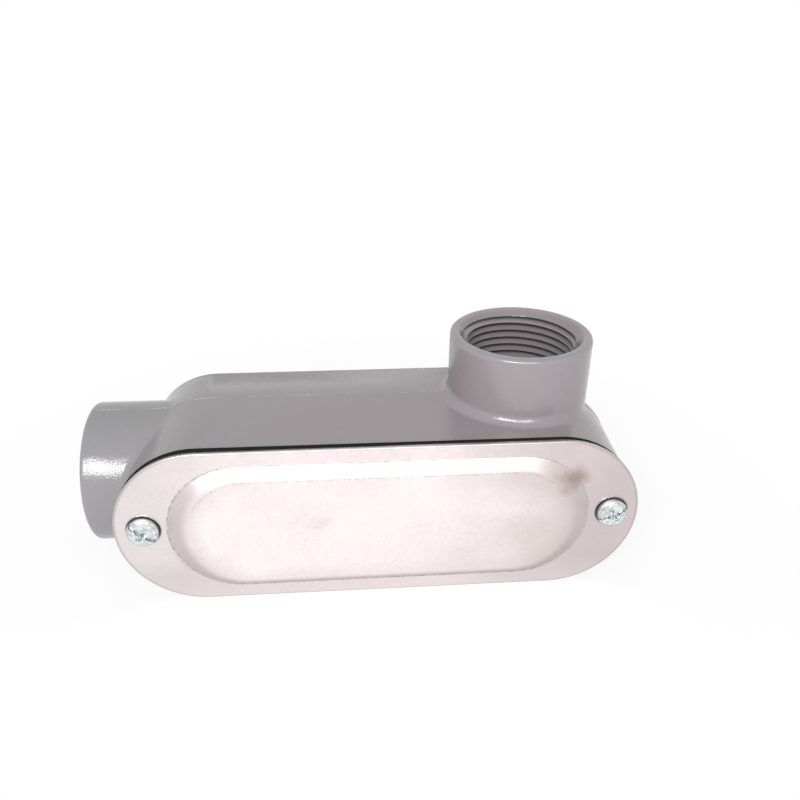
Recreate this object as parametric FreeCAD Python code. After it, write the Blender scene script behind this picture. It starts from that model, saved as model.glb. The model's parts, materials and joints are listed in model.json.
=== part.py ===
"""Conduit body with one end hub and one side hub, for 1 inch threaded conduit.

Millimetres, +Z up. The origin is the centre of the end hub's mouth. +X runs along the
body away from that mouth, +Z is the way the side hub points, and the cover faces -Y.
Both hub axes lie in the plane Y = 0, which is also the parting plane of the casting.
"""
import FreeCAD
import Part
import math
import os

from FreeCAD import Rotation, Vector

# ---- pipe thread and hubs -------------------------------------------------------
thread_root_diameter = 33.2      # groove bottoms of the 1 - 11.5 NPT thread, at the mouth
thread_depth = 17.2              # mouth to the shoulder of the bushing
hub_diameter = 39.5
hub_edge_radius = 1.2            # rounded outer edge of each mouth
hub_edge_flat_count = 2          # flats that draw that rounding
mouth_chamfer = 0.7              # 45 degree lead into the thread
bushing_bore = 26.6              # smooth throat that the wires rub on
bushing_length = 5.0
bushing_lip = 1.2                # 45 degree relief where the throat opens to the thread
hub_root_fillet = 3.0            # where a hub flows into the body

# ---- body casting ---------------------------------------------------------------
body_length = 138.7              # over the round ends, at the parting plane
body_width = 45.0                # at the parting plane
body_start = 10.7                # end-hub mouth to the near round end
cover_side_depth = 27.5          # parting plane to the face that the gasket sits on
behind_hubs = 0.25               # metal between the hubs' outline and the flat back
cover_side_draft = 2.4           # degrees
back_draft = 5.0                 # degrees
wall = 3.0
floor_thickness = 3.0            # wall behind the wiring chamber
back_edge_chamfer = 0.8
side_hub_to_end = 28.85          # side hub's axis to the body's far round end
side_hub_length = 17.9           # body's side to the side hub's rim
boss_radius = 5.6                # metal around each cover screw

# ---- gasket and cover -----------------------------------------------------------
gasket_thickness = 1.4
gasket_inset = 0.2               # gasket edge inside the cover's edge
gasket_land = 4.3                # width of the ring along the straight sides
gasket_screw_pad = 6.0           # rubber between a screw's axis and the opening
cover_end_overhang = 1.1         # past the casting's joint face at the round ends
cover_side_overhang = 1.5        # past the casting's joint face along the straight sides
cover_thickness = 1.3
cover_edge_chamfer = 0.35
cover_slip_x = -0.2              # the cover sits off centre on its screws
cover_slip_z = -0.4
rim_width = 4.0                  # flat rim beside the raised panel
panel_to_screw = 6.25            # a screw's axis to the panel's foot
panel_height = 2.2
panel_slope_side = 3.55          # width of the slope along the straight sides
panel_slope_end = 5.6            # width of the slope at the round ends
panel_bend_radius = 1.6

# ---- screws ---------------------------------------------------------------------
screw_to_end = 7.45              # a screw's axis to the body's round end
screw_diameter = 4.1
screw_length = 9.5
screw_tip_room = 1.0             # drilled past the tip
screw_thread_room = 0.05         # between the plain shank and the plain hole
cover_hole_room = 0.15           # left around the shank once the cover has slipped
head_diameter = 8.1
head_side_height = 0.9
head_crown_height = 1.2
head_top_diameter = 5.4          # level top inside the crown's slope
slot_width = 1.1
slot_depth = 1.0
cross_width = 1.5
cross_length = 4.6
cross_depth = 1.6
left_screw_turn = -38.0          # degrees that each slot is turned from level
right_screw_turn = 24.0

# ---- places that follow from the sizes --------------------------------------------
hub_radius = hub_diameter / 2
back_depth = hub_radius + behind_hubs
body_centre = Vector(body_start + body_length / 2, 0, 0)
cover_centre = body_centre + Vector(cover_slip_x, 0, cover_slip_z)
body_arc_offset = (body_length - body_width) / 2
side_hub_x = body_start + body_length - side_hub_to_end
side_hub_height = body_width / 2 + side_hub_length
joint_taper = 2 * cover_side_depth * math.tan(math.radians(cover_side_draft))
cover_length = body_length - joint_taper + 2 * cover_end_overhang
cover_width = body_width - joint_taper + 2 * cover_side_overhang
screw_spacing = body_length - 2 * screw_to_end
joint_y = -cover_side_depth
gasket_y = joint_y - gasket_thickness
cover_y = gasket_y - cover_thickness
end_bushing_x = thread_depth + bushing_length
side_bushing_z = side_hub_height - thread_depth - bushing_length
chamber_floor_y = back_depth - floor_thickness
left_screw_x = body_centre.x - screw_spacing / 2
right_screw_x = body_centre.x + screw_spacing / 2
cover_hole_radius = screw_diameter / 2 + math.hypot(cover_slip_x, cover_slip_z) + cover_hole_room

ALONG_X = Vector(1, 0, 0)
ALONG_Y = Vector(0, 1, 0)
ALONG_Z = Vector(0, 0, 1)


# ---- shared forms -----------------------------------------------------------------

def stadium_wire(centre, y, half_width, arc_offset):
    """Outline with two straight sides and two half-circle ends, in the plane Y = y."""
    left = centre.x - arc_offset
    right = centre.x + arc_offset
    top = centre.z + half_width
    bottom = centre.z - half_width
    upper = Part.LineSegment(Vector(left, y, top), Vector(right, y, top))
    right_end = Part.Arc(Vector(right, y, top), Vector(right + half_width, y, centre.z),
                         Vector(right, y, bottom))
    lower = Part.LineSegment(Vector(right, y, bottom), Vector(left, y, bottom))
    left_end = Part.Arc(Vector(left, y, bottom), Vector(left - half_width, y, centre.z),
                        Vector(left, y, top))
    return Part.Wire([curve.toShape() for curve in (upper, right_end, lower, left_end)])


def stadium_block(centre, start, end):
    """Solid between two stadium outlines, each given as (y, half_width, arc_offset)."""
    return Part.makeLoft([stadium_wire(centre, *start), stadium_wire(centre, *end)], True, True)


def edges_at_y(shape, y):
    """Edges that lie in the plane Y = y."""
    return [edge for edge in shape.Edges
            if abs(edge.BoundBox.YMin - y) < 1e-4 and abs(edge.BoundBox.YMax - y) < 1e-4]


def box_between(low, high):
    """Box from one corner to the opposite one."""
    size = high - low
    return Part.makeBox(size.x, size.y, size.z, low)


def turned_profile(points):
    """Solid turned about the Z axis from a closed list of (radius, height) points."""
    corners = [Vector(radius, 0, height) for radius, height in points]
    outline = Part.makePolygon(corners + corners[:1])
    return Part.Face(outline).revolve(Vector(0, 0, 0), ALONG_Z, 360)


def rounded_corner(centre, radius, flats):
    """Points on a quarter circle from level to upright, as (radius, height) pairs."""
    angles = [math.pi / 2 * step / flats for step in range(flats + 1)]
    return [(centre[0] + radius * math.cos(angle), centre[1] + radius * math.sin(angle))
            for angle in angles]


def placed(shape, origin, direction):
    """Copy of a shape with its own Z axis laid along a direction and its origin moved."""
    moved = shape.copy()
    moved.Placement = FreeCAD.Placement(origin, Rotation(ALONG_Z, direction)) * shape.Placement
    return moved


# ---- body casting -------------------------------------------------------------------

def half_width_at(y):
    """Half the body's width at depth y; both halves narrow away from the parting plane."""
    draft = cover_side_draft if y < 0 else back_draft
    return body_width / 2 - abs(y) * math.tan(math.radians(draft))


def hub_blank(axis_point, direction, length):
    """Plain round hub that ends in its mouth, with the mouth's outer edge rounded."""
    edge_centre = (hub_radius - hub_edge_radius, length - hub_edge_radius)
    rounding = rounded_corner(edge_centre, hub_edge_radius, hub_edge_flat_count)
    return placed(turned_profile([(0, 0), (hub_radius, 0)] + rounding + [(0, length)]),
                  axis_point, direction)


def hub_root_edges(shape, axis_point, direction):
    """Curved edges on one hub's outside, other than the circles around its mouth."""
    found = []
    steps = 4
    for edge in shape.Edges:
        first, last = edge.ParameterRange
        parameters = [first + (last - first) * step / steps for step in range(steps + 1)]
        points = [edge.valueAt(parameter) - axis_point for parameter in parameters]
        heights = [point.dot(direction) for point in points]
        radii = [(point - direction * height).Length for point, height in zip(points, heights)]
        on_hub = all(abs(radius - hub_radius) < 1e-3 for radius in radii)
        bent = not isinstance(edge.Curve, (Part.Line, Part.Circle))
        if on_hub and bent:
            found.append(edge)
    return found


def outside_half(far_y):
    """Body block from the parting plane to far_y with its half of both hubs, roots filleted."""
    start = (0, body_width / 2, body_arc_offset)
    end = (far_y, half_width_at(far_y), body_arc_offset)
    half = stadium_block(body_centre, min(start, end), max(start, end))
    reach = body_start + body_length + side_hub_height
    outward = math.copysign(reach, far_y)
    side_of_parting = box_between(Vector(-reach, min(0, outward), -reach),
                                  Vector(reach, max(0, outward), reach))
    side_axis = Vector(side_hub_x, 0, 0)
    hubs = ((body_centre, -ALONG_X, body_centre.x), (side_axis, ALONG_Z, side_hub_height))
    for axis_point, direction, length in hubs:
        hub = hub_blank(axis_point, direction, length).common(side_of_parting)
        half = half.fuse(hub).removeSplitter()
        half = half.makeFillet(hub_root_fillet, hub_root_edges(half, axis_point, direction))
    return half


def outside_blank():
    """Solid casting before coring: both halves, the back cut flat and its edge broken."""
    cover_half = outside_half(-cover_side_depth)
    deep_half = outside_half(back_depth + 2 * hub_root_fillet)
    box = deep_half.BoundBox
    behind = box_between(Vector(box.XMin, back_depth, box.ZMin), Vector(box.XMax, box.YMax, box.ZMax))
    back_half = deep_half.cut(behind)
    back_half = back_half.makeChamfer(back_edge_chamfer, edges_at_y(back_half, back_depth))
    return cover_half.fuse(back_half)


def hub_cores():
    """Metal that carries the two bushings inside the chamber."""
    saddle = Part.makeCylinder(hub_radius, end_bushing_x, Vector(0, 0, 0), ALONG_X)
    bed = box_between(Vector(0, 0, -body_width / 2), Vector(end_bushing_x, back_depth, body_width / 2))
    ring_length = side_hub_height - side_bushing_z
    ring = Part.makeCylinder(hub_radius, ring_length, Vector(side_hub_x, 0, side_bushing_z), ALONG_Z)
    return [saddle, bed, ring]


def screw_boss(x, end_wall_x):
    """Round boss around a cover screw with a web to the end wall, full depth of the chamber."""
    depth = chamber_floor_y - joint_y
    boss = Part.makeCylinder(boss_radius, depth, Vector(x, joint_y, 0), ALONG_Y)
    web = box_between(Vector(min(x, end_wall_x), joint_y, -boss_radius),
                      Vector(max(x, end_wall_x), chamber_floor_y, boss_radius))
    return boss.fuse(web)


def chamber():
    """Hollow of the casting, open to the cover, less the bushings and the screw bosses."""
    hollow = stadium_block(body_centre, (joint_y, half_width_at(joint_y) - wall, body_arc_offset),
                           (chamber_floor_y, half_width_at(chamber_floor_y) - wall, body_arc_offset))
    near_boss = screw_boss(left_screw_x, body_start)
    before_bushing = box_between(Vector(0, joint_y, -body_width),
                                 Vector(end_bushing_x, back_depth, body_width))
    far_boss = screw_boss(right_screw_x, body_start + body_length)
    return hollow.cut(hub_cores() + [near_boss.common(before_bushing), far_boss])


def hub_bore():
    """Cutter for one hub: lead chamfer, thread root, shoulder, relieved bushing, way through."""
    root = thread_root_diameter / 2
    throat = bushing_bore / 2
    lip = throat + bushing_lip
    end = thread_depth + bushing_length
    return turned_profile([
        (0, 0), (root + mouth_chamfer, 0), (root, mouth_chamfer), (root, thread_depth),
        (lip, thread_depth), (throat, thread_depth + bushing_lip),
        (throat, end + wall), (0, end + wall)])


def screw_hole(x):
    """Blind hole for a cover screw, as deep as the screw reaches and a little more."""
    depth = screw_length - cover_thickness - gasket_thickness + screw_tip_room
    radius = screw_diameter / 2 + screw_thread_room
    return Part.makeCylinder(radius, depth, Vector(x, joint_y, 0), ALONG_Y)


def body_casting():
    """One-piece casting with its hubs, bushings, chamber and tapped bosses."""
    end_bore = placed(hub_bore(), Vector(0, 0, 0), ALONG_X)
    side_bore = placed(hub_bore(), Vector(side_hub_x, 0, side_hub_height), -ALONG_Z)
    cutters = [chamber(), end_bore, side_bore, screw_hole(left_screw_x), screw_hole(right_screw_x)]
    return outside_blank().cut(cutters)


# ---- cover and gasket ---------------------------------------------------------------

def cover_holes():
    """Two clearance holes through the gasket and the cover, moved with them."""
    depth = cover_thickness + gasket_thickness
    centres = [Vector(x + cover_slip_x, cover_y, cover_slip_z) for x in (left_screw_x, right_screw_x)]
    return [Part.makeCylinder(cover_hole_radius, depth, centre, ALONG_Y) for centre in centres]


def cover_gasket():
    """Flat rubber ring with a wider pad around each screw."""
    half_width = cover_width / 2 - gasket_inset
    arc_offset = (cover_length - cover_width) / 2
    ring = stadium_block(cover_centre, (gasket_y, half_width, arc_offset),
                         (joint_y, half_width, arc_offset))
    open_half_width = half_width - gasket_land
    open_arc_offset = screw_spacing / 2 - gasket_screw_pad - open_half_width
    opening = stadium_block(cover_centre, (gasket_y, open_half_width, open_arc_offset),
                            (joint_y, open_half_width, open_arc_offset))
    return ring.cut([opening] + cover_holes())


def panel_block(foot_y, inset):
    """Tapered block of the raised panel with its foot at foot_y, drawn in by an inset."""
    foot = cover_width / 2 - rim_width
    foot_arc = screw_spacing / 2 - panel_to_screw - foot
    top = foot - panel_slope_side
    top_arc = foot_arc + foot - panel_slope_end - top
    return stadium_block(cover_centre, (foot_y - panel_height, top - inset, top_arc),
                         (foot_y, foot - inset, foot_arc))


def cover_plate():
    """Stamped cover: flat rim with a raised panel, the same sheet thickness throughout."""
    half_width = cover_width / 2
    arc_offset = (cover_length - cover_width) / 2
    rim = stadium_block(cover_centre, (cover_y, half_width, arc_offset), (gasket_y, half_width, arc_offset))
    rim = rim.makeChamfer(cover_edge_chamfer, edges_at_y(rim, cover_y))
    plate = rim.fuse(panel_block(cover_y, 0))
    plate = plate.makeFillet(panel_bend_radius, edges_at_y(plate, cover_y - panel_height))
    slope = math.atan2(panel_height, panel_slope_side)
    inner_panel = panel_block(gasket_y, cover_thickness * math.tan(slope / 2))
    return plate.cut([inner_panel] + cover_holes())


# ---- screws --------------------------------------------------------------------------

def cover_screw(x, turn):
    """Pan head screw with a slot and a cross, driven until its head meets the cover."""
    head = head_diameter / 2
    shank = screw_diameter / 2
    top = head_side_height + head_crown_height
    screw = turned_profile([
        (0, -screw_length), (shank, -screw_length), (shank, 0), (head, 0), (head, head_side_height),
        (head_top_diameter / 2, top), (0, top)])
    slot = box_between(Vector(-head, -slot_width / 2, top - slot_depth), Vector(head, slot_width / 2, top))
    arm = box_between(Vector(-cross_length / 2, -cross_width / 2, top - cross_depth),
                      Vector(cross_length / 2, cross_width / 2, top))
    other_arm = arm.copy().rotate(Vector(0, 0, 0), ALONG_Z, 90)
    screw = screw.cut([slot, arm, other_arm])
    screw = screw.rotate(Vector(0, 0, 0), ALONG_Z, turn)
    return placed(screw, Vector(x, cover_y, 0), -ALONG_Y)


def main():
    """Writes one STEP file for each separate piece."""
    pieces = {
        "body_casting": body_casting(),
        "cover_gasket": cover_gasket(),
        "cover_plate": cover_plate(),
        "cover_screw_left": cover_screw(left_screw_x, left_screw_turn),
        "cover_screw_right": cover_screw(right_screw_x, right_screw_turn),
    }
    os.makedirs("parts", exist_ok=True)
    for name, shape in pieces.items():
        shape.exportStep(f"parts/{name}.step")


if __name__ == "__main__":
    main()
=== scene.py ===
"""Looks of a conduit body: enamelled casting, cut threads, rubber gasket, stamped cover, screws.

Laid out as a Blender add-on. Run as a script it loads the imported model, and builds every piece
and the stage.
"""
import json
import math

import bmesh
import bpy
import numpy as np
from mathutils import Matrix, Vector


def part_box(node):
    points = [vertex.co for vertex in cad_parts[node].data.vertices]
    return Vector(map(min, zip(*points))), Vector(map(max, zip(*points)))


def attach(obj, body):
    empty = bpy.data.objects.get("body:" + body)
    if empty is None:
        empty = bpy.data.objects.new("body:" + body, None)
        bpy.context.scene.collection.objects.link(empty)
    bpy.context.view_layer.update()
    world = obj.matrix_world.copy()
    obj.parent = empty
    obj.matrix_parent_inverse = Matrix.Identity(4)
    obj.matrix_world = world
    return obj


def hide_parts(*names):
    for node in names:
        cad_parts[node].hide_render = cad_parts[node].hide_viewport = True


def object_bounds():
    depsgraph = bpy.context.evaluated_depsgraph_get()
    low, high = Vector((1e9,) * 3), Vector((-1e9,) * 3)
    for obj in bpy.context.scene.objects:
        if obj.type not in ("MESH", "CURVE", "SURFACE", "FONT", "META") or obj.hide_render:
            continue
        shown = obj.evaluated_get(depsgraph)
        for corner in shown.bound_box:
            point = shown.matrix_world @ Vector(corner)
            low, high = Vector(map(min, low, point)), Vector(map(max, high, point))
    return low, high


bl_info = {
    "name": "Conduit body",
    "version": (1, 0, 0),
    "blender": (4, 5, 0),
    "location": "View3D > Sidebar > Conduit",
    "description": "Builds a threaded conduit body with its cover, gasket and screws",
    "category": "Object",
}

MM = 0.001

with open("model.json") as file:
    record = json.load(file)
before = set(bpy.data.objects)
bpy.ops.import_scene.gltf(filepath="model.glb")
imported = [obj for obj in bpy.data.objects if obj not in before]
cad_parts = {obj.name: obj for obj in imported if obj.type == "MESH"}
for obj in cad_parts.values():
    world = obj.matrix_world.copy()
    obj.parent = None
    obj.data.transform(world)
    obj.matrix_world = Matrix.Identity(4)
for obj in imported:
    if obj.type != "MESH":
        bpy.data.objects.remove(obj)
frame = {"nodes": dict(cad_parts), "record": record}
cad_box = [[float(value) for value in corner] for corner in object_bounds()]


def mount_point(name):
    """Where a hub's thread starts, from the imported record."""
    for mount in frame["record"]["mounts"]:
        if mount["name"] == name:
            return Vector(mount["pos_m"])
    raise RuntimeError(f"the record has no mount named {name}")


CASTING_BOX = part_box("body_casting")
COVER_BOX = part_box("cover_plate")
SCREW_BOXES = {name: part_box(name) for name in ("cover_screw_left", "cover_screw_right")}
SIDE_HUB_X = mount_point("side_hub").x
SIDE_RIM_Z = CASTING_BOX[1].z
BODY_LENGTH = 138.7 * MM
END_RIM_X = 0.0

# Paint, metal and painted shade that no setting changes.
ENAMEL_INDEX = 1.62
ENAMEL_SPECK = (0.42, 0.40, 0.40)
# Painted shade inside the mouths and painted shadow in the thread's grooves.
BORE_PAINTED_SHADE = (0.02, 0.018, 0.018)
GROOVE_PAINTED_SHADOW = (0.02, 0.016, 0.017)
# Painted shade on the cover's sheared edge.
EDGE_PAINTED_SHADE = (0.40, 0.36, 0.37)
FINE_MOTTLE = (0.62, 0.57, 0.57)
# Painted shade over the panel's far part.
PAINTED_SHADE_HAZE = (0.56, 0.49, 0.45)
SMUDGE_SQUEEZE = (0.8, 0.3, 1.15)

# Rings and columns of the finest surfaces.
COLUMNS = 240
RIM_ROWS, SLOPE_ROWS, PANEL_ROWS = 50, 40, 40

# Camera: yaw, pitch and roll in degrees, and place in mm with x from the cover's middle.
CAMERA_ANGLES = (4.903, -27.787, 0.546)
CAMERA_PLACE = (-9.73, -195.98, 123.64)

FLOOR_REACH = 6.0

# Lamps: azimuth from -Y towards +X and elevation in degrees, width and height in metres.
LAMP_DISTANCE = 1.0
KEY_LAMP = (-20.0, 34.5, 0.44, 0.32)
SIDE_LAMP = (10.0, 33.0, 0.16, 0.46)


# ---- properties ---------------------------------------------------------------------

def length(name, description, default_mm):
    """A size property in metres, given in millimetres."""
    return bpy.props.FloatProperty(name=name, description=description, default=default_mm * MM,
                                   min=0.0, unit="LENGTH", precision=5)


def colour(name, description, default):
    """A linear colour property."""
    return bpy.props.FloatVectorProperty(name=name, description=description, default=default,
                                         size=3, min=0.0, max=1.0, subtype="COLOR")


def share(name, description, default):
    """A plain number from 0 to 1."""
    return bpy.props.FloatProperty(name=name, description=description, default=default,
                                   min=0.0, max=1.0, subtype="FACTOR")


def turn_angle(name, description, default_degrees):
    """An angle, given in degrees."""
    return bpy.props.FloatProperty(name=name, description=description,
                                   default=math.radians(default_degrees), subtype="ANGLE")


def power(name, description, default):
    """A lamp's power in watts."""
    return bpy.props.FloatProperty(name=name, description=description, default=default, min=0.0,
                                   subtype="POWER")


class CastingSettings(bpy.types.PropertyGroup):
    """Sizes and paint of the casting."""
    hub_radius: length("Hub radius", "Outside radius of both hubs", 19.75)
    edge_radius: length("Edge radius", "Rounding of each mouth's outer edge", 1.2)
    root_fillet: length("Root fillet", "Hollow where a hub flows into the body", 3.0)
    body_half_width: length("Half width", "Half the body's width at the parting line", 22.5)
    sleeve_length: length("Mouth length", "Length of hub redrawn as a smooth turned mouth", 4.5)
    bead_width: length("Parting bead width", "Width of the line left where the die halves met", 0.28)
    bead_height: length("Parting bead height", "How far that line stands proud", 0.16)
    paint: colour("Enamel", "Colour of the enamel on the end hub", (0.232, 0.229, 0.238))
    paint_warm: colour("Enamel, warm end", "Colour near the side hub", (0.262, 0.232, 0.245))
    paint_cool: colour("Enamel, cool patches", "Colour it drifts to in places", (0.236, 0.240, 0.232))
    # Painted shade inside the mouths and painted shadow in the thread's grooves.
    bore_painted_shade: share("Bore shade", "How much darker the paint is inside the mouths", 0.16)
    root_painted_shadow: share("Root shade", "How much darker the thread's groove bottoms are", 0.72)
    roughness: share("Enamel roughness", "Roughness of the baked enamel", 0.13)


class ThreadSettings(bpy.types.PropertyGroup):
    """The taper pipe thread cut in both hubs."""
    pitch: length("Pitch", "Distance between turns, 11.5 turns to the inch", 25.4 / 11.5)
    root_radius: length("Root radius", "Radius of the groove bottoms at the mouth", 16.56)
    crest_radius: length("Crest radius", "Radius of the thread's crests at the mouth", 14.85)
    depth: length("Depth", "From the mouth to the last turn", 16.9)
    band_radius: length("Mouth band radius", "Radius of the 45 degree band at the rim", 17.3)
    flank_depth: length("First flank", "Depth at which the first full flank leaves the band", 1.64)


class CoverSettings(bpy.types.PropertyGroup):
    """Sizes and metal of the stamped cover."""
    thickness: length("Sheet thickness", "Thickness of the cover's sheet", 1.3)
    edge_radius: length("Edge radius", "Rounding of the sheared edge", 0.3)
    rim_width: length("Rim width", "Flat rim beside the raised panel", 4.0)
    rim_end: length("Rim at the ends", "Flat rim at the screws", 13.65)
    slope_side: length("Side slope", "Width of the panel's slope along the sides", 3.55)
    slope_end: length("End slope", "Width of the panel's slope at the ends", 5.6)
    panel_height: length("Panel height", "How far the panel stands above the rim", 2.2)
    dimple_depth: length("Dimple depth", "Depth of the dished ring around each screw", 0.32)
    metal: colour("Metal", "Colour of the bare rim beside the panel", (0.955, 0.855, 0.865))
    # These two are painted dark reflection at the sheet's ends.
    metal_near_painted_shade: colour("Metal, near end", "Colour it dulls to at the near end", (0.800, 0.750, 0.735))
    metal_far_painted_shade: colour("Metal, far end", "Colour it dulls to at the far end", (0.665, 0.590, 0.610))
    panel_metal: colour("Panel metal", "Colour of the burnished raised panel", (0.985, 0.905, 0.905))
    # Painted dark reflection on the panel's far part.
    panel_far_painted_shade: colour("Panel metal, handled", "Colour of its handled far part", (0.83, 0.745, 0.755))
    # Painted shade and painted dark reflection on the slopes.
    painted_slope_shade: colour("Drawn metal", "Colour of the duller slopes", (0.590, 0.535, 0.535))
    # Painted shade in the crease at the foot and along the bend, painted shadow round the screws.
    painted_shadow_tint: colour("Grime", "Colour of dirt at the foot and round the screws", (0.10, 0.085, 0.085))
    smudge: colour("Smudges", "Colour of handling marks", (0.36, 0.25, 0.21))
    smudge_x: length("Smudge X", "A brown smudge's distance from the middle towards the far end", 50.2)
    smudge_z: length("Smudge Z", "That smudge's height", 11.4)
    roughness: share("Metal roughness", "Roughness of the bare sheet", 0.40)


class GasketSettings(bpy.types.PropertyGroup):
    """The rubber ring under the cover."""
    land: length("Land", "Width of the ring", 4.3)
    bulge: length("Bulge", "How far the squeezed edge can stand out", 0.80)


class ScrewSettings(bpy.types.PropertyGroup):
    """The two cover screws."""
    head_radius: length("Head radius", "Radius of the pan head", 4.05)
    side_height: length("Head side", "Height of the head's upright side", 0.9)
    crown_height: length("Crown", "Height of the head's crown above its side", 1.25)
    slot_width: length("Slot width", "Width of the slot", 0.95)
    slot_depth: length("Slot depth", "Depth of the slot below the crown", 0.7)
    cross_length: length("Cross length", "Length of the cross recess, tip to tip", 5.0)
    cross_width: length("Cross width", "Width of each arm of the cross at the surface", 1.5)
    cross_depth: length("Cross depth", "Depth of the cross at its centre", 1.2)
    shank_radius: length("Shank radius", "Radius over the screw's thread", 2.05)
    left_turn: turn_angle("Left screw turn", "Angle of the left slot", -38.0)
    right_turn: turn_angle("Right screw turn", "Angle of the right slot", 24.0)
    zinc: colour("Zinc", "Colour of the bright zinc plate", (0.86, 0.885, 0.88))


class StageSettings(bpy.types.PropertyGroup):
    """Floor, lamps and camera."""
    floor: colour("Floor", "Colour of the floor", (0.93, 0.925, 0.93))
    world_fill: share("Fill", "Strength of the even light from all around", 0.48)
    lens: bpy.props.FloatProperty(name="Lens", description="Focal length on a 36 mm sensor",
                                  default=34.846, min=1.0, subtype="DISTANCE_CAMERA")
    key_power: power("Key lamp", "Power of the soft key lamp", 6.9)
    side_power: power("Side lamp", "Power of the second lamp", 2.6)


# ---- meshes from arrays -----------------------------------------------------------------

def grid_quads(rows, columns, seam_shift=0):
    """Quads of a grid whose rows close on themselves; points are numbered row by row.

    Quad (r, c) joins points (r, c), (r, c+1), (r+1, c+1) and (r+1, c). Across the seam the
    next column is column 0, seam_shift rows further on, which is what a helix needs.
    """
    row, column = np.meshgrid(np.arange(rows - 1), np.arange(columns), indexing="ij")
    next_column = (column + 1) % columns
    shift = np.where(next_column == 0, seam_shift, 0)
    far = np.minimum(row + shift, rows - 1)
    far_next = np.minimum(row + 1 + shift, rows - 1)
    quads = np.stack([row * columns + column, far * columns + next_column,
                      far_next * columns + next_column, (row + 1) * columns + column], axis=-1)
    return quads.reshape(-1, 4)


def linked(name, data):
    """New object in the scene, at the origin."""
    thing = bpy.data.objects.new(name, data)
    bpy.context.scene.collection.objects.link(thing)
    return thing


def mesh_piece(name, points, faces, material, smooth_angle=35.0, uv=None):
    """New object at the origin from an array of points and a list of faces.

    Points that coincide are merged, faces are turned outwards, and edges sharper than
    smooth_angle degrees stay sharp. uv gives one (u, v) per point, if the piece has one.
    """
    mesh = bpy.data.meshes.new(name)
    mesh.from_pydata(np.asarray(points, float).tolist(), [], faces)
    if uv is not None:
        layer = mesh.uv_layers.new(name="UVMap")
        corner_points = np.zeros(len(mesh.loops), np.int64)
        mesh.loops.foreach_get("vertex_index", corner_points)
        layer.data.foreach_set("uv", np.asarray(uv, np.float32)[corner_points].ravel())
    shell = bmesh.new()
    shell.from_mesh(mesh)
    bmesh.ops.remove_doubles(shell, verts=shell.verts[:], dist=1e-7)
    bmesh.ops.dissolve_degenerate(shell, edges=shell.edges[:], dist=1e-8)
    bmesh.ops.recalc_face_normals(shell, faces=shell.faces[:])
    shell.to_mesh(mesh)
    shell.free()
    return finish_piece(name, mesh, material, smooth_angle)


def finish_piece(name, mesh, material, smooth_angle):
    """Shades a mesh smooth between its sharp edges, dresses it and rides it on the body."""
    mesh.shade_smooth()
    mesh.set_sharp_from_angle(angle=math.radians(smooth_angle))
    mesh.materials.clear()
    mesh.materials.append(material)
    piece = linked(name, mesh)
    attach(piece, "root")
    return piece


def along_z(points, origin, axis):
    """Turns points drawn about the Z axis so that Z lies along axis, and moves them to origin."""
    turn = np.array(Vector((0, 0, 1)).rotation_difference(Vector(axis)).to_matrix())
    return points @ turn.T + np.asarray(origin, float)


def turned(radii, heights, angles):
    """Points of a turned surface: ring r, column c lies at radius r and height r at angle c."""
    x = radii * np.cos(angles)
    y = radii * np.sin(angles)
    return np.stack(np.broadcast_arrays(x, y, heights), axis=-1).reshape(-1, 3)


def stadium_columns(arc_steps, straight_steps):
    """Columns around a stadium as (spine position -1 to 1, angle), counter-clockwise.

    A point with half-width w and arc offset a is at (a * spine + w cos, w sin) of the angle.
    """
    arc = np.linspace(-0.5, 0.5, arc_steps, endpoint=False) * math.pi
    straight = np.linspace(1.0, -1.0, straight_steps, endpoint=False)
    spine = np.concatenate([np.ones(arc_steps), straight, -np.ones(arc_steps), -straight])
    angle = np.concatenate([arc, np.full(straight_steps, 0.5 * math.pi), arc + math.pi,
                            np.full(straight_steps, 1.5 * math.pi)])
    return spine, angle


# ---- materials --------------------------------------------------------------------------

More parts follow.
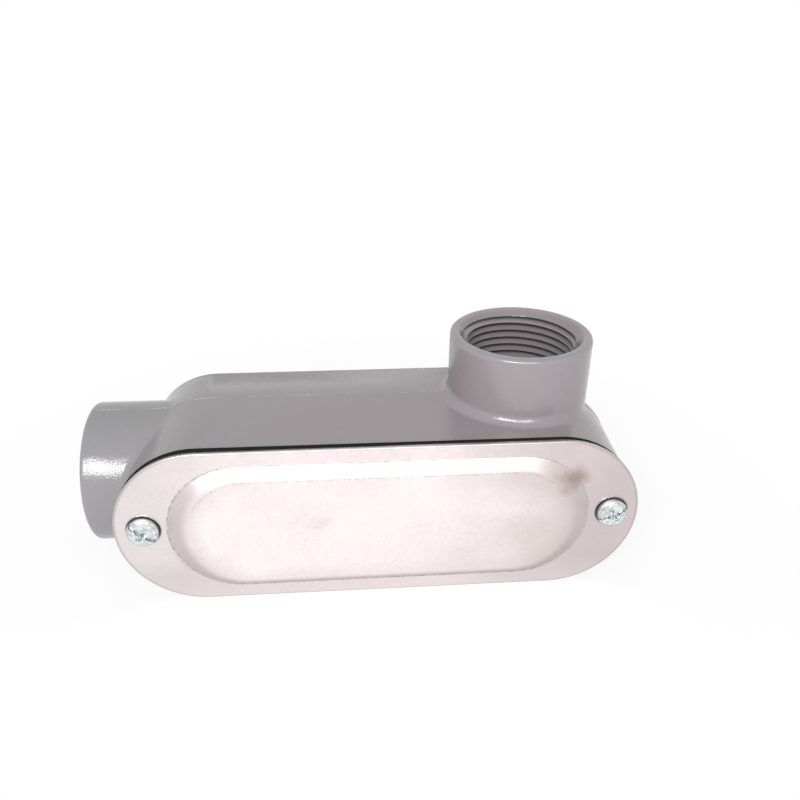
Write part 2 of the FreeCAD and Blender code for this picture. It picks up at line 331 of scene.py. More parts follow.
class NodeBook:
    """Shorthand for building the node tree of a material or a world."""

    def __init__(self, owner):
        owner.use_nodes = True
        self.owner = owner
        self.tree = owner.node_tree
        self.tree.nodes.clear()

    def put(self, socket, value):
        """Links a socket to another one, or sets it; a colour gets its fourth number."""
        if isinstance(value, bpy.types.NodeSocket):
            self.tree.links.new(value, socket)
        elif socket.type == "RGBA":
            socket.default_value = (*value, 1.0)
        else:
            socket.default_value = value

    def add(self, kind, settings=None, **inputs):
        """New node; inputs are sockets by name with _ for a space, as values or as links."""
        node = self.tree.nodes.new(kind)
        for key, value in (settings or {}).items():
            setattr(node, key, value)
        for key, value in inputs.items():
            self.put(node.inputs[key.replace("_", " ")], value)
        return node

    def between(self, value, low, high, start=0.0, end=1.0):
        """Value remapped from low..high to start..end, held at both ends."""
        return self.add("ShaderNodeMapRange", {"clamp": True}, Value=value, From_Min=low, From_Max=high,
                        To_Min=start, To_Max=end).outputs["Result"]

    def sums(self, operation, first, second):
        """One arithmetic step."""
        node = self.add("ShaderNodeMath", {"operation": operation})
        self.put(node.inputs[0], first)
        self.put(node.inputs[1], second)
        return node.outputs[0]

    def both(self, first, second):
        """Two masks multiplied, so it is 1 only where both are."""
        return self.sums("MULTIPLY", first, second)

    def vectors(self, operation, first, second):
        """One step of vector arithmetic; lengths and products come out as a plain value."""
        node = self.add("ShaderNodeVectorMath", {"operation": operation})
        self.put(node.inputs[0], first)
        if second is not None:
            self.put(node.inputs[1], second)
        plain = operation in ("DISTANCE", "LENGTH", "DOT_PRODUCT")
        return node.outputs["Value" if plain else "Vector"]

    def layered(self, factor, lower, upper):
        """Mixes two shaders, all lower at 0 and all upper at 1."""
        node = self.add("ShaderNodeMixShader")
        for socket, value in zip(node.inputs, (factor, lower, upper)):
            self.put(socket, value)
        return node.outputs[0]

    def seen_as_white(self, shown, lit):
        """Camera, glossy and transmission rays get the first shader, all others the second."""
        path = self.add("ShaderNodeLightPath").outputs
        either = self.sums("MAXIMUM", path["Is Camera Ray"], path["Is Glossy Ray"])
        return self.layered(self.sums("MAXIMUM", either, path["Is Transmission Ray"]), lit, shown)


class Finish(NodeBook):
    """A material with one principled surface, drawn in object coordinates."""

    def __init__(self, name):
        super().__init__(bpy.data.materials.new(name))
        self.surface = self.add("ShaderNodeBsdfPrincipled")
        self.add("ShaderNodeOutputMaterial", Surface=self.surface.outputs[0])
        self.place = self.add("ShaderNodeTexCoord").outputs["Object"]

    def axes(self, vector):
        """The three parts of a vector."""
        return self.add("ShaderNodeSeparateXYZ", Vector=vector).outputs

    def painted_uv(self):
        """The two parts of the piece's own UV map."""
        return self.axes(self.add("ShaderNodeUVMap", {"uv_map": "UVMap"}).outputs["UV"])

    def stretched(self, scale, place=(0.0, 0.0, 0.0)):
        """Object coordinates moved and stretched."""
        return self.add("ShaderNodeMapping", Vector=self.place, Location=place,
                        Scale=scale).outputs["Vector"]

    def noise(self, scale, detail=3.0, vector=None, roughness=0.5):
        """Noise value from 0 to 1."""
        return self.add("ShaderNodeTexNoise", Vector=vector or self.place, Scale=scale, Detail=detail,
                        Roughness=roughness).outputs["Fac"]

    def blend(self, factor, first, second):
        """Colour between first and second."""
        node = self.add("ShaderNodeMix", {"data_type": "RGBA"}, Factor=factor)
        self.put(node.inputs[6], first)
        self.put(node.inputs[7], second)
        return node.outputs[2]

    def shade(self, mask, tint, colour, strength=1.0):
        """Tint with a colour laid over it where the mask is, at a strength."""
        if strength != 1.0:
            mask = self.both(mask, strength)
        return self.blend(mask, tint, colour)

    def bump(self, height, distance, **normal):
        """Normal tilted by a height in metres."""
        return self.add("ShaderNodeBump", Height=height, Distance=distance, **normal).outputs["Normal"]

    def done(self, **sockets):
        """Sets the surface's own sockets and returns the material."""
        for key, value in sockets.items():
            self.put(self.surface.inputs[key.replace("_", " ")], value)
        return self.owner


def enamel(settings, bore=None):
    """Grey baked enamel: tint that drifts along the body, orange peel, slightly uneven gloss.

    bore is the middle of a hub's mouth, the two directions across its axis and the axis
    itself; inside that hub painted shade darkens the bore, and painted shadow the thread's grooves.
    """
    book = Finish("baked_enamel")
    drift = book.between(book.noise(24.0, 2.0), 0.36, 0.64, -12 * MM, 12 * MM)
    along = book.between(book.sums("ADD", book.axes(book.place)["X"], drift), 6 * MM, 58 * MM)
    tint = book.blend(along, settings.paint, settings.paint_warm)
    patches = book.between(book.noise(19.0, 2.0, book.stretched((1.0, 1.0, 1.0), (3.1, 0.4, 1.7))),
                           0.52, 0.66, 0.0, 0.55)
    tint = book.shade(patches, tint, settings.paint_cool)
    speck = book.between(book.noise(2600.0, 1.0), 0.66, 0.74, 0.0, 0.22)
    tint = book.shade(speck, tint, ENAMEL_SPECK)
    if bore is not None:
        middle, spread, axis = bore
        # Painted shade inside the bore, deepest as painted shadow at the groove bottoms below the mouth
        # band.
        offset = book.vectors("SUBTRACT", book.place, middle)
        away = book.vectors("LENGTH", book.vectors("MULTIPLY", offset, spread), None)
        inside = book.between(away, 16.6 * MM, 17.4 * MM, settings.bore_painted_shade, 0.0)
        tint = book.shade(inside, tint, BORE_PAINTED_SHADE)
        out = book.vectors("DOT_PRODUCT", offset, axis)
        below = book.between(out, -1.7 * MM, -2.2 * MM)
        groove = book.both(book.between(away, 15.8 * MM, 16.4 * MM),
                           book.between(away, 16.7 * MM, 17.0 * MM, settings.root_painted_shadow, 0.0))
        tint = book.shade(book.both(below, groove), tint, GROOVE_PAINTED_SHADOW)
    gloss = book.between(book.noise(160.0, 3.0), 0.3, 0.7, settings.roughness, settings.roughness + 0.05)
    waves = book.bump(book.noise(120.0, 2.0), 0.20 * MM)
    peel = book.bump(book.noise(2300.0, 2.0), 0.05 * MM, Normal=waves)
    return book.done(Base_Color=tint, Roughness=gloss, Normal=peel, IOR=ENAMEL_INDEX)


def rubber():
    """Matt black sheet rubber with a fine grain."""
    book = Finish("gasket_rubber")
    tint = book.blend(book.noise(900.0, 4.0), (0.004, 0.004, 0.004), (0.014, 0.013, 0.013))
    grain = book.bump(book.noise(3000.0, 3.0), 0.03 * MM)
    return book.done(Base_Color=tint, Roughness=book.between(book.noise(400.0), 0.2, 0.8, 0.7, 0.9),
                     Normal=grain, Specular_IOR_Level=0.12)


def sheet_metal(settings):
    """Bare stamped aluminium, dressed by its stations: edge, rim, foot, slope, bend, panel, with painted
    shade and painted dark reflection.

    The texture's u runs across the sheet, 0.25 at the edge, 0.5 at the panel's foot, 0.75 at
    the bend on top and 1 in the middle.
    """
    book = Finish("stamped_sheet")
    x, z = (book.axes(book.place)[axis] for axis in "XZ")
    station = book.painted_uv()["X"]
    middle = (COVER_BOX[0] + COVER_BOX[1]) / 2
    wobble = book.between(book.noise(40.0, 3.0), 0.3, 0.7, -6 * MM, 6 * MM)
    drifting = book.sums("ADD", x, wobble)

    def band(rise_from, rise_to, fall_from, fall_to):
        """1 across a band of stations, with a slope at each side."""
        return book.both(book.between(station, rise_from, rise_to),
                    book.between(station, fall_from, fall_to, 1.0, 0.0))

    def past(place, near, far, **limits):
        """From 0 to 1 along a length axis between two distances from the middle, in mm."""
        return book.between(place, middle.x + near * MM, middle.x + far * MM, **limits)

    # Painted dark reflection: the rim darkens towards both ends and the panel towards its far end.
    tint = book.shade(past(drifting, -30, -56), settings.metal, settings.metal_near_painted_shade)
    tint = book.shade(past(drifting, 22, 62), tint, settings.metal_far_painted_shade)
    panel = book.shade(past(drifting, 20, 50), settings.panel_metal, settings.panel_far_painted_shade)
    tint = book.blend(book.between(station, 0.50, 0.80), tint, panel)
    # Painted shade on the slopes at both ends, on the lower slope and on the lower rim.
    ends = book.sums("MAXIMUM", past(x, -36, -50), past(x, 36, 50))
    tint = book.shade(book.both(band(0.492, 0.506, 0.64, 0.83), ends), tint, settings.painted_slope_shade, 0.85)
    under = book.both(band(0.470, 0.505, 0.56, 0.82), book.between(z, -4 * MM, -13 * MM))
    tint = book.shade(under, tint, settings.painted_slope_shade, 0.9)
    low_rim = book.both(book.between(station, 0.47, 0.50, 0.45, 0.0), book.between(z, -10 * MM, -15 * MM))
    tint = book.shade(low_rim, tint, settings.painted_slope_shade)
    breaks = book.noise(1000.0, 3.0, roughness=0.6)
    spells = book.between(book.noise(75.0, 2.0), 0.36, 0.60, 0.25, 0.9)
    # Painted shade in the crease at the panel's foot and along the upper bend.
    foot = book.both(band(0.495, 0.499, 0.504, 0.514), book.between(breaks, 0.44, 0.60))
    tint = book.shade(book.both(foot, spells), tint, settings.painted_shadow_tint)
    bend = book.both(band(0.735, 0.742, 0.747, 0.755), book.between(breaks, 0.46, 0.56))
    tint = book.shade(book.both(bend, book.between(z, 4 * MM, 10 * MM, 0.0, 0.35)), tint, settings.painted_shadow_tint)
    # Painted shade darkens the sheared edge and its rounding.
    tint = book.shade(book.between(station, 0.250, 0.262, 0.62, 0.0), tint, EDGE_PAINTED_SHADE)
    # Painted shadow in a ring round each screw head.
    for centre in screw_centres():
        axis_at_rim = (centre.x, COVER_BOX[0].y + settings.panel_height, centre.z)
        away = book.vectors("DISTANCE", book.place, axis_at_rim)
        tint = book.shade(book.between(away, 4.15 * MM, 4.42 * MM, 0.75, 0.0), tint, settings.painted_shadow_tint)
    fine = book.between(book.noise(1400.0, 2.0), 0.35, 0.65, 0.0, 0.18)
    tint = book.shade(fine, tint, FINE_MOTTLE)
    # Painted shade: a darker haze over the panel's far part.
    haze = book.noise(46.0, 4.0, book.stretched((0.7, 1.0, 1.3), (5.2, 0.0, 1.1)))
    darkened = book.both(book.between(haze, 0.46, 0.66), past(drifting, 10, 34, start=0.06, end=0.34))
    tint = book.shade(darkened, tint, PAINTED_SHADE_HAZE)
    streaks = book.noise(1.0, 4.0, book.stretched((60.0, 1200.0, 1200.0)))
    marks = book.noise(70.0, 5.0, book.stretched((0.6, 1.0, 1.2), (0.7, 0.0, 2.2)), 0.65)
    tint = book.shade(book.between(marks, 0.60, 0.74, 0.0, 0.22), tint, settings.smudge)
    spot = (middle.x + settings.smudge_x, COVER_BOX[0].y + MM, settings.smudge_z)
    squeezed = tuple(factor * part for factor, part in zip(SMUDGE_SQUEEZE, spot))
    from_spot = book.vectors("DISTANCE", book.stretched(SMUDGE_SQUEEZE), squeezed)
    fray = book.between(book.noise(300.0, 4.0), 0.3, 0.7, -1.6 * MM, 1.6 * MM)
    ragged = book.sums("ADD", from_spot, fray)
    tint = book.shade(book.between(ragged, 0.4 * MM, 4.8 * MM, 0.68, 0.0), tint, settings.smudge)
    rough = book.sums("ADD", book.between(book.noise(70.0, 4.0), 0.3, 0.7, settings.roughness - 0.06,
                                          settings.roughness + 0.08),
                      book.between(streaks, 0.3, 0.7, -0.02, 0.02))
    grain = book.bump(streaks, 0.008 * MM)
    orange = book.bump(book.noise(700.0, 4.0), 0.022 * MM, Normal=grain)
    return book.done(Base_Color=tint, Metallic=1.0, Roughness=rough, Normal=orange)


def zinc_plate(settings):
    """Bright zinc plate, cloudy, with painted shade deep in the recess, near the crown's edge and on the
    upright side.

    The texture's u is the depth below the crown in millimetres over 4, and its v is the
    distance from the axis over the head's diameter.
    """
    book = Finish("zinc_plate")
    uv = book.painted_uv()
    deep, out = uv["X"], uv["Y"]
    clouds = book.between(book.noise(850.0, 3.0), 0.40, 0.62)
    tint = book.shade(clouds, settings.zinc, (0.62, 0.68, 0.69))
    spots = book.between(book.noise(1900.0, 2.0), 0.54, 0.66, 0.0, 0.55)
    tint = book.shade(spots, tint, (0.26, 0.34, 0.36))
    # Painted shade deep in the recess.
    shading = book.both(book.between(deep, 0.02, 0.16),
                     book.between(book.noise(1300.0, 2.0), 0.45, 0.62, 0.0, 0.80))
    tint = book.shade(shading, tint, (0.13, 0.18, 0.21))
    # Painted shade: a thin grey line near the crown's edge.
    line = book.both(book.between(out, 0.425, 0.440), book.between(out, 0.455, 0.470, 0.6, 0.0))
    tint = book.shade(line, tint, (0.34, 0.34, 0.345))
    # Painted shade on the head's upright side.
    side = book.between(out, 0.494, 0.4995, 0.0, 0.72)
    tint = book.shade(side, tint, (0.42, 0.41, 0.42))
    wavy = book.bump(book.noise(900.0, 3.0), 0.05 * MM)
    return book.done(Base_Color=tint, Metallic=1.0, Normal=wavy,
                     Roughness=book.between(book.noise(500.0), 0.3, 0.7, 0.14, 0.26))


# ---- casting ----------------------------------------------------------------------------

def casting_skin(sleeve_length):
    """The CAD casting as one merged skin, cut square where the smooth mouths begin.

    Each cut's ring, between the hub's outside and its bore, is filled.
    """
    shell = bmesh.new()
    shell.from_mesh(frame["nodes"]["body_casting"].data)
    bmesh.ops.remove_doubles(shell, verts=shell.verts[:], dist=1e-6)
    cuts = ((Vector((END_RIM_X + sleeve_length, 0, 0)), Vector((-1, 0, 0))),
            (Vector((0, 0, SIDE_RIM_Z - sleeve_length)), Vector((0, 0, 1))))
    for point, direction in cuts:
        everything = shell.verts[:] + shell.edges[:] + shell.faces[:]
        result = bmesh.ops.bisect_plane(shell, geom=everything, plane_co=point, plane_no=direction,
                                        clear_outer=True)
        edges = [item for item in result["geom_cut"] if isinstance(item, bmesh.types.BMEdge)]
        bmesh.ops.triangle_fill(shell, edges=edges, use_beauty=True, use_dissolve=False)
    bmesh.ops.recalc_face_normals(shell, faces=shell.faces[:])
    mesh = bpy.data.meshes.new("casting")
    shell.to_mesh(mesh)
    shell.free()
    return mesh


def thread_flats(thread):
    """Height of the thread, width of a flank and width of each flat, for a 60 degree form."""
    height = thread.root_radius - thread.crest_radius
    flank = height * math.tan(math.radians(30.0))
    return height, flank, (thread.pitch - 2 * flank) / 2


def thread_radius(depth, angle, thread, start):
    """Radius of the threaded bore at a depth below the mouth and an angle about the hub.

    Within one pitch the wall runs out along a flank to the root, stays there a little, runs
    back in along the other flank to the crest and stays there. The form sinks by one pitch
    for each clockwise turn seen from the mouth, so the thread is right-handed. The 45 degree
    band at the mouth cuts away whatever stands inside it.
    """
    height, flank, flat = thread_flats(thread)
    phase = np.mod(depth - start + thread.pitch * angle / (2 * math.pi), thread.pitch)
    outward = np.clip(phase / flank, 0, 1)
    inward = np.clip((phase - flank - flat) / flank, 0, 1)
    wall = thread.crest_radius + height * (outward - inward)
    return np.maximum(wall, thread.band_radius - depth)


def hub_mouth(name, origin, axis, casting, thread, start, material):
    """Turned mouth of one hub with its rounded edge, 45 degree band and helical thread.

    Every ring is a circle about the hub's axis; heights run down from the rim at 0. Columns
    run clockwise. The thread's rows sink by one pitch a turn, lie on the corners of the
    thread's form, and are held between its first and last depth, so that the band above and
    the plain lip below stay level.
    """
    flank_steps = 6
    clockwise = np.arange(COLUMNS) / COLUMNS
    angles = -2 * math.pi * clockwise
    radius = casting.hub_radius
    edge = casting.edge_radius
    liner_radius = thread.root_radius + 0.02 * MM
    liner_end = thread.depth + 0.25 * MM
    turn = np.linspace(0, 0.5 * math.pi, 13)
    lead = np.array([0.16, 0.05]) * MM
    outside_radii = np.concatenate([[radius], radius - edge + edge * np.cos(turn),
                                    thread.band_radius + lead])
    outside_depths = np.concatenate([[casting.sleeve_length], edge - edge * np.sin(turn),
                                     [0.0, lead[1]]])
    outer = turned(outside_radii[:, None], -outside_depths[:, None], angles)
    first_depth = 0.14 * MM
    _, flank, flat = thread_flats(thread)
    one_flank = np.arange(flank_steps) * flank / flank_steps
    form = np.concatenate([one_flank, [flank], flank + flat + one_flank, [2 * flank + flat]])
    turns = math.ceil((thread.depth - first_depth) / thread.pitch) + 2
    lowest = start - thread.pitch * (math.ceil((start - first_depth) / thread.pitch) + 1)
    rows = (lowest + np.arange(turns)[:, None] * thread.pitch + form[None, :]).reshape(-1, 1)
    depth = np.clip(rows + thread.pitch * clockwise[None, :], first_depth, thread.depth)
    wall = turned(thread_radius(depth, angles[None, :], thread, start), -depth, angles)
    inner_radii = np.array([liner_radius, liner_radius, liner_radius])
    inner_depths = np.array([thread.depth + 0.02 * MM, liner_end, casting.sleeve_length])
    back = turned(inner_radii[:, None], -inner_depths[:, None], angles)
    points = np.concatenate([outer, wall, back])
    outer_rows, wall_rows, back_rows = len(outside_radii), len(rows), len(inner_radii)
    tail = (outer_rows + wall_rows - 1) * COLUMNS
    last = tail + back_rows * COLUMNS
    ring = np.arange(COLUMNS)
    next_ring = (ring + 1) % COLUMNS
    faces = [grid_quads(outer_rows + 1, COLUMNS),
             grid_quads(wall_rows, COLUMNS, len(form)) + outer_rows * COLUMNS,
             grid_quads(back_rows + 1, COLUMNS) + tail,
             np.stack([last + ring, last + next_ring, next_ring, ring], axis=-1)]
    placed_points = along_z(points, origin, axis)
    return mesh_piece(name, placed_points, np.concatenate(faces).tolist(), material, 50.0)


def side_thread_start(thread):
    """Depth at angle 0 where a flank leaves the crest, from where it meets the band behind."""
    radius = thread.band_radius - thread.flank_depth
    back = thread.flank_depth - (radius - thread.crest_radius) * math.tan(math.radians(30.0))
    return back + thread.pitch / 4


def arc_run(centre, radius, first, last, steps):
    """Points and outward normals on an arc in the X-Z plane, angles in degrees from +X to +Z."""
    angle = np.radians(np.linspace(first, last, steps))
    normal = np.stack([np.cos(angle), np.sin(angle)], axis=-1)
    return np.asarray(centre) + radius * normal, normal


def straight_run(start, end, normal):
    """Both ends of a straight in the X-Z plane, with its outward normal at each."""
    return np.array([start, end]), np.array([normal, normal], float)


def hollow_run(centre, radius, first, last, steps):
    """As arc_run for a hollow fillet, whose outward normals point to its centre."""
    points, normal = arc_run(centre, radius, first, last, steps)
    return points, -normal


def parting_runs(casting):
    """The casting's outline at the parting line, in two runs between the mouths.

    Each run is (points, outward normals) in the X-Z plane. The first goes from the end hub's
    mouth over the top to the side hub, the second from the side hub round the far end and
    under the body back to the end hub.
    """
    hub, fillet, half = casting.hub_radius, casting.root_fillet, casting.body_half_width
    near = CASTING_BOX[1].x - BODY_LENGTH + half
    far = CASTING_BOX[1].x - half
    reach = half + fillet
    root_x = near - math.sqrt(reach ** 2 - (hub + fillet) ** 2)
    near_turn = math.degrees(math.atan2(hub + fillet, near - root_x))
    side_x = SIDE_HUB_X + hub + fillet
    side_z = math.sqrt(reach ** 2 - (side_x - far) ** 2)
    far_turn = math.degrees(math.atan2(side_z, side_x - far))
    mouth = casting.edge_radius
    left, right = SIDE_HUB_X - hub, SIDE_HUB_X + hub
    up, down = (0, 1), (0, -1)
    over = [
        straight_run((END_RIM_X + mouth, hub), (root_x - MM, hub), up),
        hollow_run((root_x, hub + fillet), fillet, -90.0, -near_turn, 9),
        arc_run((near, 0.0), half, 180.0 - near_turn, 90.0, 40),
        straight_run((near + MM, half), (left - fillet - MM, half), up),
        hollow_run((left - fillet, half + fillet), fillet, -90.0, 0.0, 12),
        straight_run((left, half + fillet + MM), (left, SIDE_RIM_Z - mouth), (-1, 0)),
    ]
    under = [
        straight_run((right, SIDE_RIM_Z - mouth), (right, side_z + MM), (1, 0)),
        hollow_run((side_x, side_z), fillet, 180.0, 180.0 + far_turn, 9),
        arc_run((far, 0.0), half, far_turn, -90.0, 70),
        straight_run((far - MM, -half), (near + MM, -half), down),
        arc_run((near, 0.0), half, -90.0, -180.0 + near_turn, 40),
        hollow_run((root_x, -hub - fillet), fillet, near_turn, 90.0, 9),
        straight_run((root_x - MM, -hub), (END_RIM_X + mouth, -hub), down),
    ]
    return [tuple(np.concatenate([run[part] for run in runs]) for part in (0, 1)) for runs in (over, under)]


def parting_bead(name, run, casting, material):
    """Thin rounded bead along one run of the parting line, sunk a little into the casting.

    Each ring around the run is a low arch: height over the surface falls as a cosine across
    the bead's width, and its flat underside lies inside the metal. The bead's height wanders
    slowly along the run, as the flash of a worn die does.
    """
    spots, normals = run
    steps = np.concatenate([[0.0], np.cumsum(np.linalg.norm(np.diff(spots, axis=0), axis=1))])
    even = np.linspace(0.0, steps[-1], int(steps[-1] / (0.6 * MM)))
    place = np.stack([np.interp(even, steps, spots[:, axis]) for axis in (0, 1)], axis=-1)
    normal = np.stack([np.interp(even, steps, normals[:, axis]) for axis in (0, 1)], axis=-1)
    normal /= np.linalg.norm(normal, axis=1, keepdims=True)
    wander = 0.68 + 0.32 * np.sin(even / (7.3 * MM)) * np.sin(even / (3.1 * MM) + 1.0)
    across = np.linspace(-1.0, 1.0, 7)
    arch = np.concatenate([np.cos(across * math.pi / 2), [0.0, 0.0]])
    sides = np.concatenate([across, [1.0, -1.0]]) * casting.bead_width / 2
    sunk = np.concatenate([np.full(7, 0.02 * MM), [0.2 * MM, 0.2 * MM]])
    lift = casting.bead_height * arch[None, :] * wander[:, None] - sunk[None, :]
    x = place[:, :1] + normal[:, :1] * lift
    z = place[:, 1:] + normal[:, 1:] * lift
    y = np.broadcast_to(sides[None, :], x.shape)
    points = np.stack([x, y, z], axis=-1).reshape(-1, 3)
    around = len(sides)
    faces = grid_quads(len(even), around).tolist()
    faces.append(list(range(around)))
    faces.append(list(range(len(points) - around, len(points)))[::-1])
    return mesh_piece(name, points, faces, material, 50.0)


class CONDUIT_OT_casting(bpy.types.Operator):
    """Enamelled casting with smooth hub mouths and both threads"""
    bl_idname = "conduit.casting"
    bl_label = "Casting"

    def execute(self, context):
        casting = context.scene.conduit_casting
        thread = context.scene.conduit_thread
        paint = enamel(casting)
        skin = finish_piece("casting", casting_skin(casting.sleeve_length), paint, 35.0)
        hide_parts("body_casting")
        start = side_thread_start(thread)
        mouths = (("side_hub_mouth", (SIDE_HUB_X, 0, SIDE_RIM_Z), (0, 0, 1), (1, 1, 0), start),
                  ("end_hub_mouth", (END_RIM_X, 0, 0), (-1, 0, 0), (0, 1, 1), start + 0.7 * MM))
        for name, middle, axis, spread, first in mouths:
            shaded = enamel(casting, (middle, spread, axis))
            hub_mouth(name, middle, axis, casting, thread, first, shaded)
        for number, run in enumerate(parting_runs(casting), 1):
            parting_bead(f"parting_bead_{number}", run, casting, paint)
        return {"FINISHED"}


# ---- cover, gasket and screws -----------------------------------------------------------

def screw_centres():
    """Middle of each screw's box, left then right."""
    return [(SCREW_BOXES[name][0] + SCREW_BOXES[name][1]) / 2
            for name in ("cover_screw_left", "cover_screw_right")]


def cover_profile(cover):
    """Stations of the cover from its back edge round to the middle of its front.

    Each row is (side inset, end inset, height above the rim's face). The rim is level, the
    foot is a small hollow curve, the slope is straight, and the bend at the top is a wide
    round curve into the level panel.
    """
    edge = cover.edge_radius
    turn = np.linspace(0, 0.5 * math.pi, 6)
    rounding = np.stack([edge * (1 - np.cos(turn)), edge * (1 - np.cos(turn)),
                         -edge * (1 - np.sin(turn))], axis=-1)
    share_in = np.linspace(0, 1, RIM_ROWS)[1:]
    rim = np.stack([edge + (cover.rim_width - edge) * share_in,
                    edge + (cover.rim_end - edge) * share_in, 0 * share_in], axis=-1)
    across = np.linspace(0, 1, SLOPE_ROWS)[1:]
    slope = np.stack([cover.rim_width + cover.slope_side * across,
                      cover.rim_end + cover.slope_end * across,
                      cover.panel_height * smooth_slope(across)], axis=-1)
    return rounding, rim, slope


def smooth_slope(across):
    """Height from 0 to 1 over a slope: tight hollow at the foot, straight, round at the top."""
    foot, top = 0.10, 0.34
    steep = 1 / (1 - foot / 2 - top / 2)
    low = steep * across ** 2 / (2 * foot)
    middle = steep * (across - foot / 2)
    high = 1 - steep * (1 - across) ** 2 / (2 * top)
    return np.where(across < foot, low, np.where(across > 1 - top, high, middle))


def cover_points(cover):
    """Points and texture places of the whole cover sheet, front and back."""
    low, high = COVER_BOX
    centre = (low + high) / 2
    half_width = (high.z - low.z) / 2
    half_length = (high.x - low.x) / 2
    face = low.y + cover.panel_height
    spine, angle = stadium_columns(200, 120)
    rounding, rim, slope = cover_profile(cover)
    side_edge = np.array([[0.0, 0.0, -cover.thickness + 0.1 * MM]])
    front = np.concatenate([side_edge, rounding, rim, slope])
    half = half_width - front[:, 0]
    front_rows = np.stack([half, half_length - front[:, 1] - half, front[:, 2]], axis=-1)
    shrink = np.linspace(1, 0, PANEL_ROWS)[1:, None]
    panel_rows = front_rows[-1] * np.hstack([shrink, np.ones((len(shrink), 2))])
    back_rows = back_stations(cover, half_width, half_length)
    half, offset, height = np.concatenate([back_rows, front_rows, panel_rows]).T
    x = centre.x + offset[:, None] * spine + half[:, None] * np.cos(angle)
    z = centre.z + half[:, None] * np.sin(angle)
    y = face - np.broadcast_to(height[:, None], x.shape).copy()
    y[len(back_rows):] += dimples(cover, x, z)[len(back_rows):]
    points = np.stack([x, y, z], axis=-1).reshape(-1, 3)
    station = np.concatenate([np.full(len(back_rows) + 1, -0.2), np.linspace(-0.15, 0.0, len(rounding)),
                              np.linspace(0, 1, RIM_ROWS)[1:], np.linspace(1, 2, SLOPE_ROWS)[1:],
                              np.linspace(2, 3, PANEL_ROWS)[1:]])
    place = np.stack(np.broadcast_arrays(station[:, None] / 4 + 0.25, 0.5 + angle / 16), axis=-1)
    return points, len(half), len(spine), place.reshape(-1, 2)


def back_stations(cover, half_width, half_length):
    """Rows of the sheet's back, middle first, one thickness behind the front."""
    slope = math.atan2(cover.panel_height, cover.slope_side)
    shift = cover.thickness * math.tan(slope / 2)
    stations = [(cover.rim_width + cover.slope_side + shift, cover.rim_end + cover.slope_end + shift, 1.0),
                (cover.rim_width + shift, cover.rim_end + shift, 0.0),
                (0.1 * MM, 0.1 * MM, 0.0)]
    rows = []
    for side, end, rise in stations:
        half = half_width - side
        rows.append((half, half_length - end - half, cover.panel_height * rise - cover.thickness))
    middle = (0.0, *rows[0][1:])
    return np.array([middle] + rows)


def dimples(cover, x, z):
    """How far the front is dished in a ring around each screw, by distance from its axis."""
    dish = np.zeros_like(x)
    for centre in screw_centres():
        away = np.hypot(x - centre.x, z - centre.z)
        outer = smooth_step((4.60 * MM - away) / (0.40 * MM))
        inner = smooth_step((away - 2.9 * MM) / (0.6 * MM))
        dish = np.maximum(dish, cover.dimple_depth * outer * inner)
    return dish


def smooth_step(value):
    """0 below 0, 1 above 1, and an S curve between."""
    held = np.clip(value, 0, 1)
    return held * held * (3 - 2 * held)


class CONDUIT_OT_cover(bpy.types.Operator):
    """Stamped cover sheet with its raised panel"""
    bl_idname = "conduit.cover"
    bl_label = "Cover"

    def execute(self, context):
        cover = context.scene.conduit_cover
        points, rows, columns, place = cover_points(cover)
        faces = grid_quads(rows, columns).tolist()
        piece = mesh_piece("cover_sheet", points, faces, sheet_metal(cover), 60.0, place)
        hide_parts("cover_plate")
        return {"FINISHED"}


def gasket_points(gasket):
    """Points of the rubber ring, whose squeezed outer edge bulges past the cover's.

    The section is an oblong with an arched outer side. The bulge is largest along the upper
    side at the near end and falls away towards the far end. Round the ends and underneath
    the edge is drawn in behind the cover's.
    """
    low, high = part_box("cover_gasket")
    centre = (low + high) / 2
    half = (high.z - low.z) / 2
    offset = (high.x - low.x) / 2 - half
    spine, angle = stadium_columns(120, 90)
    turn = np.linspace(-0.5 * math.pi, 0.5 * math.pi, 9)
    arch = np.concatenate([[-gasket.land / gasket.bulge], np.cos(turn), [-gasket.land / gasket.bulge]])
    depth = np.concatenate([[low.y], centre.y + (high.y - low.y) / 2 * np.sin(turn), [high.y]])
    along = (offset * spine + half * np.cos(angle)) / (offset + half)
    upper = np.clip(np.sin(angle), 0.0, 1.0)
    squeeze = np.where(arch[:, None] > 0, upper * (0.65 - 0.35 * along) - 0.55 * (1 - upper), 1.0)
    reach = half + gasket.bulge * arch[:, None] * squeeze
    x = centre.x + offset * spine + reach * np.cos(angle)
    z = centre.z + reach * np.sin(angle)
    y = np.broadcast_to(depth[:, None], x.shape)
    points = np.stack([x, y, z], axis=-1)
    return np.concatenate([points, points[:1]]).reshape(-1, 3), len(arch) + 1, len(spine)


class CONDUIT_OT_gasket(bpy.types.Operator):
    """Rubber gasket between the casting and the cover"""
    bl_idname = "conduit.gasket"
    bl_label = "Gasket"

    def execute(self, context):
        points, rows, columns = gasket_points(context.scene.conduit_gasket)
        piece = mesh_piece("gasket_ring", points, grid_quads(rows, columns).tolist(), rubber(), 50.0)
        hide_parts("cover_gasket")
        return {"FINISHED"}


def recess_depth(x, y, screw):
    """Depth of the slot and the cross below the crown, each with slightly sloping walls."""
    wall = 0.14 * MM
    slot = smooth_step((screw.slot_width / 2 + wall / 2 - np.abs(y)) / wall) * screw.slot_depth
    reach = screw.cross_length / 2
    cross = np.zeros_like(x)
    for along, across in ((x, y), (y, x)):
        from_centre = np.clip(1 - np.abs(along) / reach, 0, 1)
        half = screw.cross_width / 2 * (0.45 + 0.55 * from_centre)
        inside = smooth_step((half + wall / 2 - np.abs(across)) / wall)
        ends = smooth_step((reach - np.abs(along)) / (0.35 * MM))
        cross = np.maximum(cross, inside * ends * screw.cross_depth * (0.5 + 0.5 * from_centre))
    return np.maximum(slot, cross)


